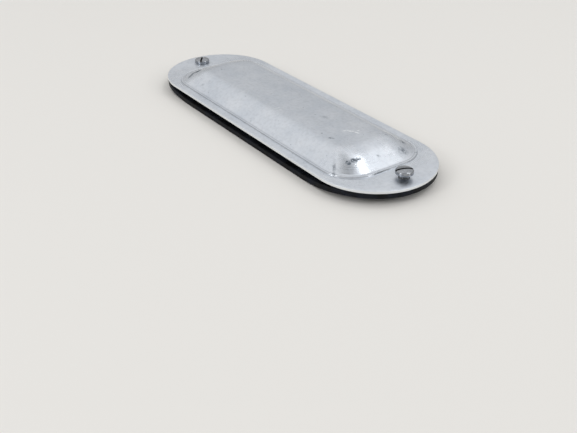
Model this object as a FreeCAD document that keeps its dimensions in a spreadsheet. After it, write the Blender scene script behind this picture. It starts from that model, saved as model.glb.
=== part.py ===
import math
import os

import FreeCAD
import Part
import Sketcher

# A conduit body cover: a domed sheet metal cover, its rubber gasket and its two slotted screws.
# Millimetres, +Z up, +X along the cover. The bottom of the gasket's sagging strips is z = 0.

V = FreeCAD.Vector
doc = FreeCAD.newDocument("conduit_body_cover")

# ---------------------------------------------------------------- driving dimensions
dims = doc.addObject("Spreadsheet::Sheet", "dims")
DIMENSIONS = {
    # cover outline and sheet
    "cover_length": 241.3,
    "cover_width": 76.2,
    "sheet_thick": 1.6,
    "flange_bottom": 7.2,
    "flange_top": 8.8,
    # narrow raised shelf round the foot of the dome
    "shelf_length": 196.4,
    "shelf_width": 66.4,
    "shelf_corner": 21.5,
    "shelf_height": 0.8,
    "shelf_lean": 0.6,
    "shelf_top": 9.6,
    "shelf_hollow_length": 193.2,
    "shelf_hollow_width": 63.2,
    "shelf_hollow_corner": 19.9,
    # dome, outside and inside
    "dome_foot_length": 191.0,
    "dome_foot_width": 61.0,
    "dome_foot_corner": 19.0,
    "dome_top_length": 158.0,
    "dome_top_width": 35.0,
    "dome_top_corner": 9.0,
    "dome_top": 17.8,
    "hollow_inset": 0.45,
    "hollow_foot": 8.0,
    "hollow_top": 16.2,
    "dome_blend": 15.0,
    "hollow_blend": 13.4,
    # screw holes
    "screw_reach": 109.5,
    "clearance_dia": 6.6,
    # gasket
    "gasket_thick": 3.2,
    "gasket_gap": 4.0,
    "sag_flat": 62.0,
    "sag_end": 108.0,
    "opening_length": 184.0,
    "opening_width": 57.0,
    "opening_corner": 24.0,
    "grip_dia": 5.6,
    # screws
    "head_dia": 10.5,
    "head_rim": 1.2,
    "head_height": 3.0,
    "shank_dia": 5.5,
    "shank_length": 7.94,
    "tip_bevel": 0.6,
    "slot_width": 1.4,
    "slot_depth": 1.5,
    "near_slot_turn": 70.0,
    "far_slot_turn": -31.0,
    "near_proud": 2.6,
    "far_proud": 0.0,
}
for row, (name, value) in enumerate(DIMENSIONS.items(), start=1):
    dims.set(f"A{row}", name)
    dims.set(f"B{row}", str(value))
    dims.setAlias(f"B{row}", name)
doc.recompute()


# ---------------------------------------------------------------- sketch helpers
def new_sketch(body, name, plane="XY", height="0"):
    """A sketch parallel to one of the body's origin planes, at a bound height."""
    sketch = body.newObject("Sketcher::SketchObject", name)
    datum = [f for f in body.Origin.OriginFeatures if f.Role == plane + "_Plane"][0]
    sketch.AttachmentSupport = [(datum, "")]
    sketch.MapMode = "FlatFace"
    sketch.setExpression("AttachmentOffset.Base.z", height)
    return sketch


def rounded_outline(sketch, length, width, corner):
    """A centred rectangle with four equal corner arcs, bound to three dimensions."""
    half_l = 60.0
    half_w = 25.0
    r = 8.0
    corners = [(1, 1, 0), (-1, 1, 90), (-1, -1, 180), (1, -1, 270)]
    arcs = []
    for sx, sy, start in corners:
        centre = V(sx * (half_l - r), sy * (half_w - r), 0)
        circle = Part.Circle(centre, V(0, 0, 1), r)
        a0 = math.radians(start)
        arcs.append(sketch.addGeometry(Part.ArcOfCircle(circle, a0, a0 + math.pi / 2), False))
    sides = []
    ends = []
    for i in range(4):
        here = sketch.getPoint(arcs[i], 2)
        there = sketch.getPoint(arcs[(i + 1) % 4], 1)
        sides.append(sketch.addGeometry(Part.LineSegment(here, there), False))
    for i in range(4):
        ends.append(Sketcher.Constraint("Tangent", arcs[i], 2, sides[i], 1))
        ends.append(Sketcher.Constraint("Tangent", sides[i], 2, arcs[(i + 1) % 4], 1))
    for i in (1, 2, 3):
        ends.append(Sketcher.Constraint("Equal", arcs[0], arcs[i]))
    ends.append(Sketcher.Constraint("Horizontal", sides[0]))
    ends.append(Sketcher.Constraint("Horizontal", sides[2]))
    ends.append(Sketcher.Constraint("Vertical", sides[1]))
    ends.append(Sketcher.Constraint("Vertical", sides[3]))
    ends.append(Sketcher.Constraint("Symmetric", arcs[0], 3, arcs[2], 3, -1, 1))
    sketch.addConstraint(ends)
    add_size(sketch, "Radius", (arcs[0],), r, "corner", corner)
    add_size(sketch, "DistanceX", (sides[1], 1, sides[3], 1), 2 * half_l, "length", length)
    add_size(sketch, "DistanceY", (sides[2], 1, sides[0], 1), 2 * half_w, "width", width)


def add_size(sketch, kind, where, value, name, formula):
    """A named dimension in a sketch, driven by a formula on the dimension sheet."""
    index = sketch.addConstraint(Sketcher.Constraint(kind, *where, value))
    sketch.renameConstraint(index, name)
    sketch.setExpression("Constraints." + name, formula)


def stadium_outline(sketch, length, width):
    """A centred outline with two long sides and full-round ends."""
    half_l = 60.0
    r = 20.0
    right = sketch.addGeometry(
        Part.ArcOfCircle(Part.Circle(V(half_l, 0, 0), V(0, 0, 1), r), -math.pi / 2, math.pi / 2), False)
    left = sketch.addGeometry(
        Part.ArcOfCircle(Part.Circle(V(-half_l, 0, 0), V(0, 0, 1), r), math.pi / 2, 3 * math.pi / 2), False)
    top = sketch.addGeometry(Part.LineSegment(V(half_l, r, 0), V(-half_l, r, 0)), False)
    bottom = sketch.addGeometry(Part.LineSegment(V(-half_l, -r, 0), V(half_l, -r, 0)), False)
    sketch.addConstraint([
        Sketcher.Constraint("Tangent", right, 2, top, 1),
        Sketcher.Constraint("Tangent", top, 2, left, 1),
        Sketcher.Constraint("Tangent", left, 2, bottom, 1),
        Sketcher.Constraint("Tangent", bottom, 2, right, 1),
        Sketcher.Constraint("Horizontal", top),
        Sketcher.Constraint("Equal", left, right),
        Sketcher.Constraint("Symmetric", left, 3, right, 3, -1, 1),
    ])
    add_size(sketch, "Radius", (right,), r, "end_radius", f"{width} / 2")
    add_size(sketch, "DistanceX", (left, 3, right, 3), 2 * half_l, "centres", f"{length} - {width}")


def two_holes(sketch, reach, diameter):
    """Two equal circles on the long axis, the same reach each side of the centre."""
    near = sketch.addGeometry(Part.Circle(V(50, 0, 0), V(0, 0, 1), 3), False)
    far = sketch.addGeometry(Part.Circle(V(-50, 0, 0), V(0, 0, 1), 3), False)
    sketch.addConstraint([
        Sketcher.Constraint("Equal", near, far),
        Sketcher.Constraint("PointOnObject", near, 3, -1),
        Sketcher.Constraint("Symmetric", near, 3, far, 3, -1, 1),
    ])
    add_size(sketch, "Diameter", (near,), 6.0, "hole_dia", diameter)
    add_size(sketch, "DistanceX", (-1, 1, near, 3), 50.0, "reach", reach)


def edges_where(shape, test):
    """Names of the edges whose bounding box passes a test."""
    return [f"Edge{i}" for i, edge in enumerate(shape.Edges, start=1) if test(edge.BoundBox)]


def level_edges(shape, height, reach_min, reach_max):
    """Names of the edges lying flat at a height, all within a band of distance from the middle."""
    def flat(box):
        level = abs(box.ZMin - height) < 1e-4 and abs(box.ZMax - height) < 1e-4
        far_x = max(abs(box.XMin), abs(box.XMax))
        far_y = max(abs(box.YMin), abs(box.YMax))
        inside = far_x < reach_max[0] and far_y < reach_max[1]
        return level and inside and (far_x > reach_min[0] or far_y > reach_min[1])
    return edges_where(shape, flat)


def fillet(body, base, edges, radius, name):
    """A constant fillet on named edges, its radius bound to the dimension sheet."""
    feature = body.newObject("PartDesign::Fillet", name)
    feature.Base = (base, edges)
    feature.setExpression("Radius", radius)
    doc.recompute()
    return feature


D = DIMENSIONS

# ---------------------------------------------------------------- cover
cover = doc.addObject("PartDesign::Body", "cover")
cover.Label = "cover"

sk_plate = new_sketch(cover, "plate_outline", height="dims.flange_bottom")
stadium_outline(sk_plate, "dims.cover_length", "dims.cover_width")
plate = cover.newObject("PartDesign::Pad", "plate")
plate.Profile = sk_plate
plate.setExpression("Length", "dims.sheet_thick")
doc.recompute()

sk_shelf = new_sketch(cover, "shelf_outline", height="dims.flange_top")
rounded_outline(sk_shelf, "dims.shelf_length", "dims.shelf_width", "dims.shelf_corner")
sk_shelf_top = new_sketch(cover, "shelf_top_outline", height="dims.shelf_top")
rounded_outline(sk_shelf_top, "dims.shelf_length - 2 * dims.shelf_lean",
                "dims.shelf_width - 2 * dims.shelf_lean", "dims.shelf_corner - dims.shelf_lean")
shelf = cover.newObject("PartDesign::AdditiveLoft", "shelf")
shelf.Profile = sk_shelf
shelf.Sections = [sk_shelf_top]
shelf.Ruled = True
doc.recompute()

sk_foot = new_sketch(cover, "dome_foot", height="dims.shelf_top")
rounded_outline(sk_foot, "dims.dome_foot_length", "dims.dome_foot_width", "dims.dome_foot_corner")
sk_top = new_sketch(cover, "dome_top", height="dims.dome_top")
rounded_outline(sk_top, "dims.dome_top_length", "dims.dome_top_width", "dims.dome_top_corner")
dome = cover.newObject("PartDesign::AdditiveLoft", "dome")
dome.Profile = sk_foot
dome.Sections = [sk_top]
dome.Ruled = True
doc.recompute()

top_edges = level_edges(dome.Shape, D["dome_top"], (0, 0), (90, 30))
crown = fillet(cover, dome, top_edges, "dims.dome_blend", "crown_blend")

sk_recess = new_sketch(cover, "shelf_hollow", height="dims.hollow_foot")
rounded_outline(sk_recess, "dims.shelf_hollow_length", "dims.shelf_hollow_width",
                "dims.shelf_hollow_corner")
recess = cover.newObject("PartDesign::Pocket", "shelf_recess")
recess.Profile = sk_recess
recess.setExpression("Length", "dims.shelf_height")
doc.recompute()

sk_in_foot = new_sketch(cover, "hollow_foot_outline", height="dims.hollow_foot")
rounded_outline(sk_in_foot, "dims.dome_foot_length - 2 * dims.hollow_inset",
                "dims.dome_foot_width - 2 * dims.hollow_inset",
                "dims.dome_foot_corner - dims.hollow_inset")
sk_in_top = new_sketch(cover, "hollow_top_outline", height="dims.hollow_top")
rounded_outline(sk_in_top, "dims.dome_top_length - 2 * dims.hollow_inset",
                "dims.dome_top_width - 2 * dims.hollow_inset",
                "dims.dome_top_corner - dims.hollow_inset")
hollow = cover.newObject("PartDesign::SubtractiveLoft", "hollow")
hollow.Profile = sk_in_foot
hollow.Sections = [sk_in_top]
hollow.Ruled = True
doc.recompute()
in_edges = level_edges(hollow.Shape, D["hollow_top"], (0, 0), (90, 30))
inner = fillet(cover, hollow, in_edges, "dims.hollow_blend", "hollow_crown_blend")

sk_holes = new_sketch(cover, "screw_holes", height="dims.flange_top")
two_holes(sk_holes, "dims.screw_reach", "dims.clearance_dia")
holes = cover.newObject("PartDesign::Pocket", "clearance_holes")
holes.Profile = sk_holes
holes.setExpression("Length", "dims.sheet_thick")
doc.recompute()
cover.Tip = holes

# ---------------------------------------------------------------- gasket
# The plan ring and the sagging side profile are two solids; what they share is the gasket.
ring = doc.addObject("PartDesign::Body", "gasket_plan")
sk_ring = new_sketch(ring, "gasket_outline")
stadium_outline(sk_ring, "dims.cover_length", "dims.cover_width")
pad_ring = ring.newObject("PartDesign::Pad", "gasket_pad")
pad_ring.Profile = sk_ring
pad_ring.setExpression("Length", "dims.flange_bottom")
doc.recompute()
sk_open = new_sketch(ring, "gasket_opening", height="dims.flange_bottom")
rounded_outline(sk_open, "dims.opening_length", "dims.opening_width", "dims.opening_corner")
cut_open = ring.newObject("PartDesign::Pocket", "opening")
cut_open.Profile = sk_open
cut_open.Type = 1
doc.recompute()
sk_grip = new_sketch(ring, "grip_holes", height="dims.flange_bottom")
two_holes(sk_grip, "dims.screw_reach", "dims.grip_dia")
cut_grip = ring.newObject("PartDesign::Pocket", "grip")
cut_grip.Profile = sk_grip
cut_grip.Type = 1
doc.recompute()

side = doc.addObject("PartDesign::Body", "gasket_side")
sk_side = new_sketch(side, "sag_profile", plane="XZ")
sag_run = D["sag_end"] - D["sag_flat"]
sag_radius = (sag_run ** 2 + D["gasket_gap"] ** 2) / (4 * D["gasket_gap"])
sag_angle = math.asin(sag_run / 2 / sag_radius)
end_x = D["cover_length"] / 2 + 1


def sag_line(height):
    """One face of the bowed strip: level, up through two arcs, level again. Left to right."""
    gap = D["gasket_gap"]
    flat = D["sag_flat"]
    top = D["sag_end"]
    low_c = height + sag_radius
    high_c = height + gap - sag_radius
    ids = []
    ids.append(sk_side.addGeometry(Part.LineSegment(V(-end_x, height + gap, 0), V(-top, height + gap, 0)), False))
    arc = Part.ArcOfCircle(Part.Circle(V(-top, high_c, 0), V(0, 0, 1), sag_radius),
                           math.pi / 2 - sag_angle, math.pi / 2)
    ids.append(sk_side.addGeometry(arc, False))
    arc = Part.ArcOfCircle(Part.Circle(V(-flat, low_c, 0), V(0, 0, 1), sag_radius),
                           -math.pi / 2 - sag_angle, -math.pi / 2)
    ids.append(sk_side.addGeometry(arc, False))
    ids.append(sk_side.addGeometry(Part.LineSegment(V(-flat, height, 0), V(flat, height, 0)), False))
    arc = Part.ArcOfCircle(Part.Circle(V(flat, low_c, 0), V(0, 0, 1), sag_radius),
                           -math.pi / 2, -math.pi / 2 + sag_angle)
    ids.append(sk_side.addGeometry(arc, False))
    arc = Part.ArcOfCircle(Part.Circle(V(top, high_c, 0), V(0, 0, 1), sag_radius),
                           math.pi / 2, math.pi / 2 + sag_angle)
    ids.append(sk_side.addGeometry(arc, False))
    ids.append(sk_side.addGeometry(Part.LineSegment(V(top, height + gap, 0), V(end_x, height + gap, 0)), False))
    joins = [
        Sketcher.Constraint("Tangent", ids[0], 2, ids[1], 2),
        Sketcher.Constraint("Tangent", ids[1], 1, ids[2], 1),
        Sketcher.Constraint("Tangent", ids[2], 2, ids[3], 1),
        Sketcher.Constraint("Tangent", ids[3], 2, ids[4], 1),
        Sketcher.Constraint("Tangent", ids[4], 2, ids[5], 2),
        Sketcher.Constraint("Tangent", ids[5], 1, ids[6], 1),
        Sketcher.Constraint("Horizontal", ids[0]),
        Sketcher.Constraint("Equal", ids[1], ids[2]),
        Sketcher.Constraint("Equal", ids[4], ids[5]),
        Sketcher.Constraint("Symmetric", ids[3], 1, ids[3], 2, -2),
        Sketcher.Constraint("Symmetric", ids[0], 2, ids[6], 1, -2),
        Sketcher.Constraint("Symmetric", ids[0], 1, ids[6], 2, -2),
    ]
    sk_side.addConstraint(joins)
    return ids


low = sag_line(0.0)
high = sag_line(D["gasket_thick"])
left_end = sk_side.addGeometry(
    Part.LineSegment(sk_side.getPoint(low[0], 1), sk_side.getPoint(high[0], 1)), False)
right_end = sk_side.addGeometry(
    Part.LineSegment(sk_side.getPoint(low[6], 2), sk_side.getPoint(high[6], 2)), False)
sk_side.addConstraint([
    Sketcher.Constraint("Coincident", left_end, 1, low[0], 1),
    Sketcher.Constraint("Coincident", left_end, 2, high[0], 1),
    Sketcher.Constraint("Coincident", right_end, 1, low[6], 2),
    Sketcher.Constraint("Coincident", right_end, 2, high[6], 2),
    Sketcher.Constraint("Vertical", left_end),
])
add_size(sk_side, "DistanceX", (low[3], 1, low[3], 2), 2 * D["sag_flat"], "flat_run", "2 * dims.sag_flat")
add_size(sk_side, "DistanceX", (high[3], 1, high[3], 2), 2 * D["sag_flat"], "flat_run_top",
         "2 * dims.sag_flat")
add_size(sk_side, "DistanceX", (low[0], 2, low[6], 1), 2 * D["sag_end"], "rise_run", "2 * dims.sag_end")
add_size(sk_side, "DistanceX", (high[0], 2, high[6], 1), 2 * D["sag_end"], "rise_run_top",
         "2 * dims.sag_end")
add_size(sk_side, "DistanceX", (low[0], 1, low[6], 2), 2 * end_x, "strip_run", "dims.cover_length + 2")
add_size(sk_side, "DistanceY", (low[3], 1, low[0], 1), D["gasket_gap"], "gap", "dims.gasket_gap")
add_size(sk_side, "DistanceY", (high[3], 1, high[0], 1), D["gasket_gap"], "gap_top", "dims.gasket_gap")
add_size(sk_side, "DistanceY", (low[3], 1, high[3], 1), D["gasket_thick"], "thick", "dims.gasket_thick")
sk_side.addConstraint(Sketcher.Constraint("PointOnObject", low[3], 1, -1))
pad_side = side.newObject("PartDesign::Pad", "strip")
pad_side.Profile = sk_side
pad_side.Midplane = True
pad_side.setExpression("Length", "dims.cover_width + 4")
doc.recompute()

gasket = doc.addObject("Part::MultiCommon", "gasket")
gasket.Shapes = [ring, side]
gasket.Label = "gasket"
doc.recompute()


# ---------------------------------------------------------------- screws
def make_screw(name, reach_sign, proud, turn):
    """A slotted round-topped screw, drawn seated on its own origin and lifted to its place."""
    body = doc.addObject("PartDesign::Body", name)
    body.Label = name
    sk = new_sketch(body, name + "_half", plane="XZ")
    head_r = D["head_dia"] / 2
    shank_r = D["shank_dia"] / 2
    bevel = D["tip_bevel"]
    length = D["shank_length"]
    rim = D["head_rim"]
    top = D["head_height"]
    rise = top - rim
    round_r = (head_r ** 2 + rise ** 2) / (2 * rise)
    points = [V(0, -length, 0), V(shank_r - bevel, -length, 0), V(shank_r, -length + bevel, 0),
              V(shank_r, 0, 0), V(head_r, 0, 0), V(head_r, rim, 0)]
    lines = []
    for a, b in zip(points[:-1], points[1:]):
        lines.append(sk.addGeometry(Part.LineSegment(a, b), False))
    centre = V(0, top - round_r, 0)
    a0 = math.atan2(rim - centre.y, head_r)
    dome_arc = sk.addGeometry(
        Part.ArcOfCircle(Part.Circle(centre, V(0, 0, 1), round_r), a0, math.pi / 2), False)
    axis_line = sk.addGeometry(Part.LineSegment(V(0, top, 0), V(0, -length, 0)), False)
    joins = []
    for a, b in zip(lines[:-1], lines[1:]):
        joins.append(Sketcher.Constraint("Coincident", a, 2, b, 1))
    joins.append(Sketcher.Constraint("Coincident", lines[-1], 2, dome_arc, 1))
    joins.append(Sketcher.Constraint("Coincident", dome_arc, 2, axis_line, 1))
    joins.append(Sketcher.Constraint("Coincident", axis_line, 2, lines[0], 1))
    joins.append(Sketcher.Constraint("PointOnObject", axis_line, 1, -2))
    joins.append(Sketcher.Constraint("PointOnObject", axis_line, 2, -2))
    joins.append(Sketcher.Constraint("PointOnObject", dome_arc, 3, -2))
    joins.append(Sketcher.Constraint("PointOnObject", lines[2], 2, -1))
    for i in (0, 3):
        joins.append(Sketcher.Constraint("Horizontal", lines[i]))
    for i in (2, 4):
        joins.append(Sketcher.Constraint("Vertical", lines[i]))
    sk.addConstraint(joins)
    add_size(sk, "DistanceX", (-1, 1, lines[2], 2), shank_r, "shank_r", "dims.shank_dia / 2")
    add_size(sk, "DistanceX", (-1, 1, lines[3], 2), head_r, "head_r", "dims.head_dia / 2")
    add_size(sk, "DistanceX", (lines[0], 2, lines[1], 2), bevel, "bevel_in", "dims.tip_bevel")
    add_size(sk, "DistanceY", (lines[1], 1, lines[1], 2), bevel, "bevel_up", "dims.tip_bevel")
    add_size(sk, "DistanceY", (lines[0], 1, lines[2], 2), length, "length", "dims.shank_length")
    add_size(sk, "DistanceY", (lines[4], 1, lines[4], 2), rim, "rim", "dims.head_rim")
    add_size(sk, "DistanceY", (lines[2], 2, axis_line, 1), top, "head", "dims.head_height")
    turned = body.newObject("PartDesign::Revolution", name + "_turned")
    turned.Profile = sk
    turned.ReferenceAxis = (sk, ["V_Axis"])
    turned.Angle = 360.0
    doc.recompute()
    sk_slot = new_sketch(body, name + "_slot_outline", height="dims.head_height")
    sk_slot.setExpression("AttachmentOffset.Rotation.Angle", turn)
    rect = [V(-8, -1, 0), V(8, -1, 0), V(8, 1, 0), V(-8, 1, 0)]
    edges = [sk_slot.addGeometry(Part.LineSegment(rect[i], rect[(i + 1) % 4]), False) for i in range(4)]
    rules = [Sketcher.Constraint("Coincident", edges[i], 2, edges[(i + 1) % 4], 1) for i in range(4)]
    rules += [Sketcher.Constraint("Horizontal", edges[0]), Sketcher.Constraint("Horizontal", edges[2])]
    rules += [Sketcher.Constraint("Vertical", edges[1]), Sketcher.Constraint("Vertical", edges[3])]
    rules += [Sketcher.Constraint("Symmetric", edges[0], 1, edges[2], 1, -1, 1)]
    sk_slot.addConstraint(rules)
    add_size(sk_slot, "DistanceX", (edges[0], 1, edges[0], 2), 16.0, "across", "dims.head_dia + 4")
    add_size(sk_slot, "DistanceY", (edges[1], 1, edges[1], 2), 2.0, "slot_w", "dims.slot_width")
    slot = body.newObject("PartDesign::Pocket", name + "_slot")
    slot.Profile = sk_slot
    slot.setExpression("Length", "dims.slot_depth")
    doc.recompute()
    body.Tip = slot
    body.setExpression("Placement.Base.x", f"{reach_sign} * dims.screw_reach")
    body.setExpression("Placement.Base.z", f"dims.flange_top + {proud}")
    doc.recompute()
    return body


near_screw = make_screw("near_screw", 1, "dims.near_proud", "dims.near_slot_turn")
far_screw = make_screw("far_screw", -1, "dims.far_proud", "dims.far_slot_turn")

# ---------------------------------------------------------------- check and write
doc.recompute()
for item in doc.Objects:
    if "Invalid" in item.State or "Error" in item.State:
        raise RuntimeError(f"{item.Label} did not compute: {item.State}")
os.makedirs("parts", exist_ok=True)
for part in (cover, gasket, near_screw, far_screw):
    shape = part.Shape
    if shape.isNull() or not shape.isValid() or len(shape.Solids) != 1:
        raise RuntimeError(f"{part.Label} has no single valid solid")
    shape.exportStep(f"parts/{part.Label}.step")
    box = shape.BoundBox
    print(part.Label, [round(v, 2) for v in (box.XMin, box.XMax, box.YMin, box.YMax, box.ZMin, box.ZMax)],
          "volume", round(shape.Volume, 1))
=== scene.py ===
# %% [markdown]
# # A conduit body cover
# This scene dresses a small hardware assembly: a stamped aluminium cover, the black rubber gasket
# under its flange, and the two slotted screws that are still loose in it. The solid model is loaded
# first and never moved, because every piece made here has to sit exactly on it. All sizes below are
# read from that model or given in millimetres.

# %% Load the frame
import math

import bmesh
import bpy
import numpy as np
from mathutils import Matrix, Vector


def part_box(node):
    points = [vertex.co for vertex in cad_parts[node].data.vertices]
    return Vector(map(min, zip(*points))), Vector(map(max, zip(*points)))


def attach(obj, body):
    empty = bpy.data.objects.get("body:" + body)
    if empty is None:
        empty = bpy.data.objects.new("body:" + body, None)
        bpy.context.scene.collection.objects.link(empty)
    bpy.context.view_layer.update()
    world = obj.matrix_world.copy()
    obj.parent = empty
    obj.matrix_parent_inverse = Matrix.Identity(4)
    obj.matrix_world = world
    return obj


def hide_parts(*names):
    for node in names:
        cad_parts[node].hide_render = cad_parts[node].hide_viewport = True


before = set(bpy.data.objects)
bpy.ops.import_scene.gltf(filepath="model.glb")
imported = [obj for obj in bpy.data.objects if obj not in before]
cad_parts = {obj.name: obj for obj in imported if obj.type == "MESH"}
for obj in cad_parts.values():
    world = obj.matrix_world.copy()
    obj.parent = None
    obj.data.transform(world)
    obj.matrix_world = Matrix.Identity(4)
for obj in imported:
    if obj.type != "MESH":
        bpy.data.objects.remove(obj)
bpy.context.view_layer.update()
MM = 0.001

# %% [markdown]
# ## Sizes that every piece shares
# The boxes of the solids give the heights of the flange and the dome, and where the screws stand.
# Sheet and gasket thickness are stock sizes. Keeping them as names in one place means that a change
# to the solid model carries through to the surfaces.

# %% Shared sizes
def node_box_mm(node):
    """Lowest and highest corner of a solid, as two arrays in millimetres."""
    low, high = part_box(node)
    return np.array(low) / MM, np.array(high) / MM


cover_low, cover_high = node_box_mm("cover")
near_low, near_high = node_box_mm("near_screw")
far_low = node_box_mm("far_screw")[0]

HALF_LENGTH = cover_high[0]
HALF_WIDTH = cover_high[1]
SHEET = 1.6
FLANGE_BOTTOM = cover_low[2]
FLANGE_TOP = FLANGE_BOTTOM + SHEET
DOME_TOP = cover_high[2]
GASKET_THICK = 3.2
SCREW_REACH = (near_low[0] + near_high[0]) / 2
print("flange from", round(FLANGE_BOTTOM, 2), "to", round(FLANGE_TOP, 2), "dome top", round(DOME_TOP, 2))


# %% [markdown]
# ## From arrays to a mesh
# A pressed or moulded part is a smooth surface, so each one is worked out as a grid of points with
# numpy and turned into quads in one go. Looping over vertices in Python would be slow, and modelling
# by hand could not follow the same formula as the solid model.

# %% Faces of a grid, and their shading
def grid_faces(rows, cols, wrap_rows=False):
    """Quads of a grid whose columns always close on themselves, and whose rows may."""
    count = rows if wrap_rows else rows - 1
    i = np.arange(count)[:, None]
    j = np.arange(cols)[None, :]
    here = i * cols + j
    right = i * cols + (j + 1) % cols
    below = ((i + 1) % rows) * cols + j
    diagonal = ((i + 1) % rows) * cols + (j + 1) % cols
    return np.stack(np.broadcast_arrays(here, right, diagonal, below), -1).reshape(-1, 4)


def smooth_with_creases(mesh, sharp_deg):
    """Smooth shading everywhere except at edges that bend by more than the given angle."""
    mesh.polygons.foreach_set("use_smooth", np.ones(len(mesh.polygons), bool))
    mesh.set_sharp_from_angle(angle=math.radians(sharp_deg))


def put(name, data):
    """A new object in the scene, made from a mesh, a lamp or a camera."""
    thing = bpy.data.objects.new(name, data)
    bpy.context.scene.collection.objects.link(thing)
    return thing


# %% A finished piece
# Both in metres: points nearer than the first are one point, edges shorter than the second are none.
SAME_POINT = 1e-7
NO_EDGE = 1e-8


def finish_mesh(name, points_mm, faces, body, sharp_deg=35.0):
    """A piece from points in millimetres: doubles merged, normals outward, smooth with sharp edges."""
    mesh = bpy.data.meshes.new(name)
    mesh.from_pydata((points_mm * MM).tolist(), [], faces.tolist())
    work = bmesh.new()
    work.from_mesh(mesh)
    bmesh.ops.remove_doubles(work, verts=work.verts, dist=SAME_POINT)
    bmesh.ops.dissolve_degenerate(work, edges=work.edges, dist=NO_EDGE)
    bmesh.ops.recalc_face_normals(work, faces=work.faces)
    if work.calc_volume(signed=True) < 0:
        bmesh.ops.reverse_faces(work, faces=work.faces)
    work.to_mesh(mesh)
    work.free()
    smooth_with_creases(mesh, sharp_deg)
    piece = put(name, mesh)
    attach(piece, body)
    return piece


# %% [markdown]
# Bores and slots are cut with an exact boolean, which keeps their rims crisp. Drawing them into the
# grid would bend its rows round every hole. Each finished skin is then counted for open edges, since
# a closed one also works as a printable mesh.

# %% Cutting and counting
def cut(piece, cutters, sharp_deg=35.0):
    """Takes the cutters out of a piece with an exact boolean, and keeps the result as its mesh."""
    for cutter in cutters:
        modifier = piece.modifiers.new("cut", "BOOLEAN")
        modifier.operation = "DIFFERENCE"
        modifier.solver = "EXACT"
        modifier.object = cutter
    graph = bpy.context.evaluated_depsgraph_get()
    done = bpy.data.meshes.new_from_object(piece.evaluated_get(graph))
    piece.modifiers.clear()
    old = piece.data
    piece.data = done
    done.name = piece.name
    bpy.data.meshes.remove(old)
    for cutter in cutters:
        bpy.data.objects.remove(cutter)
    smooth_with_creases(done, sharp_deg)


def report(piece):
    """Prints a piece's face count and how many of its edges don't have exactly two faces."""
    work = bmesh.new()
    work.from_mesh(piece.data)
    loose = sum(1 for edge in work.edges if len(edge.link_faces) != 2)
    print(piece.name, "faces:", len(work.faces), "open edges:", loose)
    work.free()


# %% Numbers that the finish reads
def places_mm(items, key):
    """Places of a mesh's points or faces, one row each, in millimetres."""
    place = np.empty(len(items) * 3)
    items.foreach_get(key, place)
    return place.reshape(-1, 3) / MM


def keep_value(piece, name, domain, values):
    """Stores a number for each point or face of a piece under a name, for its finish to read."""
    layer = piece.data.attributes.new(name, "FLOAT", domain)
    layer.data.foreach_set("value", values.astype(np.float32))


# %% A drill
DRILL_SIDES = 64


def drill(x, radius, low, high):
    """A closed upright cylinder on the long axis, as a cutting tool: one circle at two heights."""
    turn = np.linspace(0, 2 * np.pi, DRILL_SIDES, endpoint=False)
    circle = np.stack([x + radius * np.cos(turn), radius * np.sin(turn)], -1)
    points = np.concatenate([np.column_stack([circle, np.full(DRILL_SIDES, z)]) for z in (low, high)])
    mesh = bpy.data.meshes.new("drill")
    sides = grid_faces(2, DRILL_SIDES).tolist()
    caps = [list(range(DRILL_SIDES))[::-1], list(range(DRILL_SIDES, 2 * DRILL_SIDES))]
    mesh.from_pydata((points * MM).tolist(), [], sides + caps)
    work = bmesh.new()
    work.from_mesh(mesh)
    bmesh.ops.recalc_face_normals(work, faces=work.faces)
    work.to_mesh(mesh)
    work.free()
    return put("drill", mesh)


# %% [markdown]
# ## One family of outlines
# The flange, the bead, the dome's foot and its level top are all rounded rectangles, from the full
# round of the flange to the tight corners of the top. One function draws any of them with the same
# number of points, so two neighbouring outlines can be joined by plain quads that flow round the part.

# %% Rounded rings
# A square corner counts as a round of this many millimetres, because the arc divides by its radius.
LEAST_RADIUS = 1e-6


def rounded_rings(half_length, half_width, corner, quarter_steps):
    """Rings of points round rounded rectangles, one row for each set of sizes.

    In a quarter, the length run along the outline picks a point: first up the end, then round the
    corner arc, then back along the side. The other quarters are its mirror images.
    """
    a = np.asarray(half_length, float)[:, None]
    b = np.asarray(half_width, float)[:, None]
    r = np.maximum(np.asarray(corner, float)[:, None], LEAST_RADIUS)
    end, arc, side = b - r, r * np.pi / 2, a - r
    part = np.arange(quarter_steps) / quarter_steps

    def quarter(fraction):
        run = fraction[None, :] * (end + arc + side)
        turn = np.clip((run - end) / r, 0, np.pi / 2)
        x = a - r + r * np.cos(turn) - np.maximum(run - end - arc, 0)
        y = np.minimum(run, end) + r * np.sin(turn)
        return x, y

    forward = quarter(part)
    backward = quarter(1 - part)
    x = np.concatenate([forward[0], -backward[0], -forward[0], backward[0]], axis=1)
    y = np.concatenate([forward[1], backward[1], -forward[1], -backward[1]], axis=1)
    return x, y


def outside_distance(x, y, outline):
    """Distance from a rounded rectangle: zero on its outline, positive outside and negative inside."""
    dx = np.abs(x) - (outline["length"] - outline["corner"])
    dy = np.abs(y) - (outline["width"] - outline["corner"])
    beyond = np.hypot(np.maximum(dx, 0), np.maximum(dy, 0))
    return beyond + np.minimum(np.maximum(dx, dy), 0) - outline["corner"]


# %% [markdown]
# ## The cover
# The real cover is one piece of soft aluminium sheet, blanked to a full-round outline and pressed
# into a low dome inside a narrow raised bead. Spinning or sculpting would not keep the sheet's even
# thickness. Here the section is walked from the middle of the dome outwards, over the cut edge and
# back in along the underside, and each stop on that walk is one rounded ring at one height.

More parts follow.
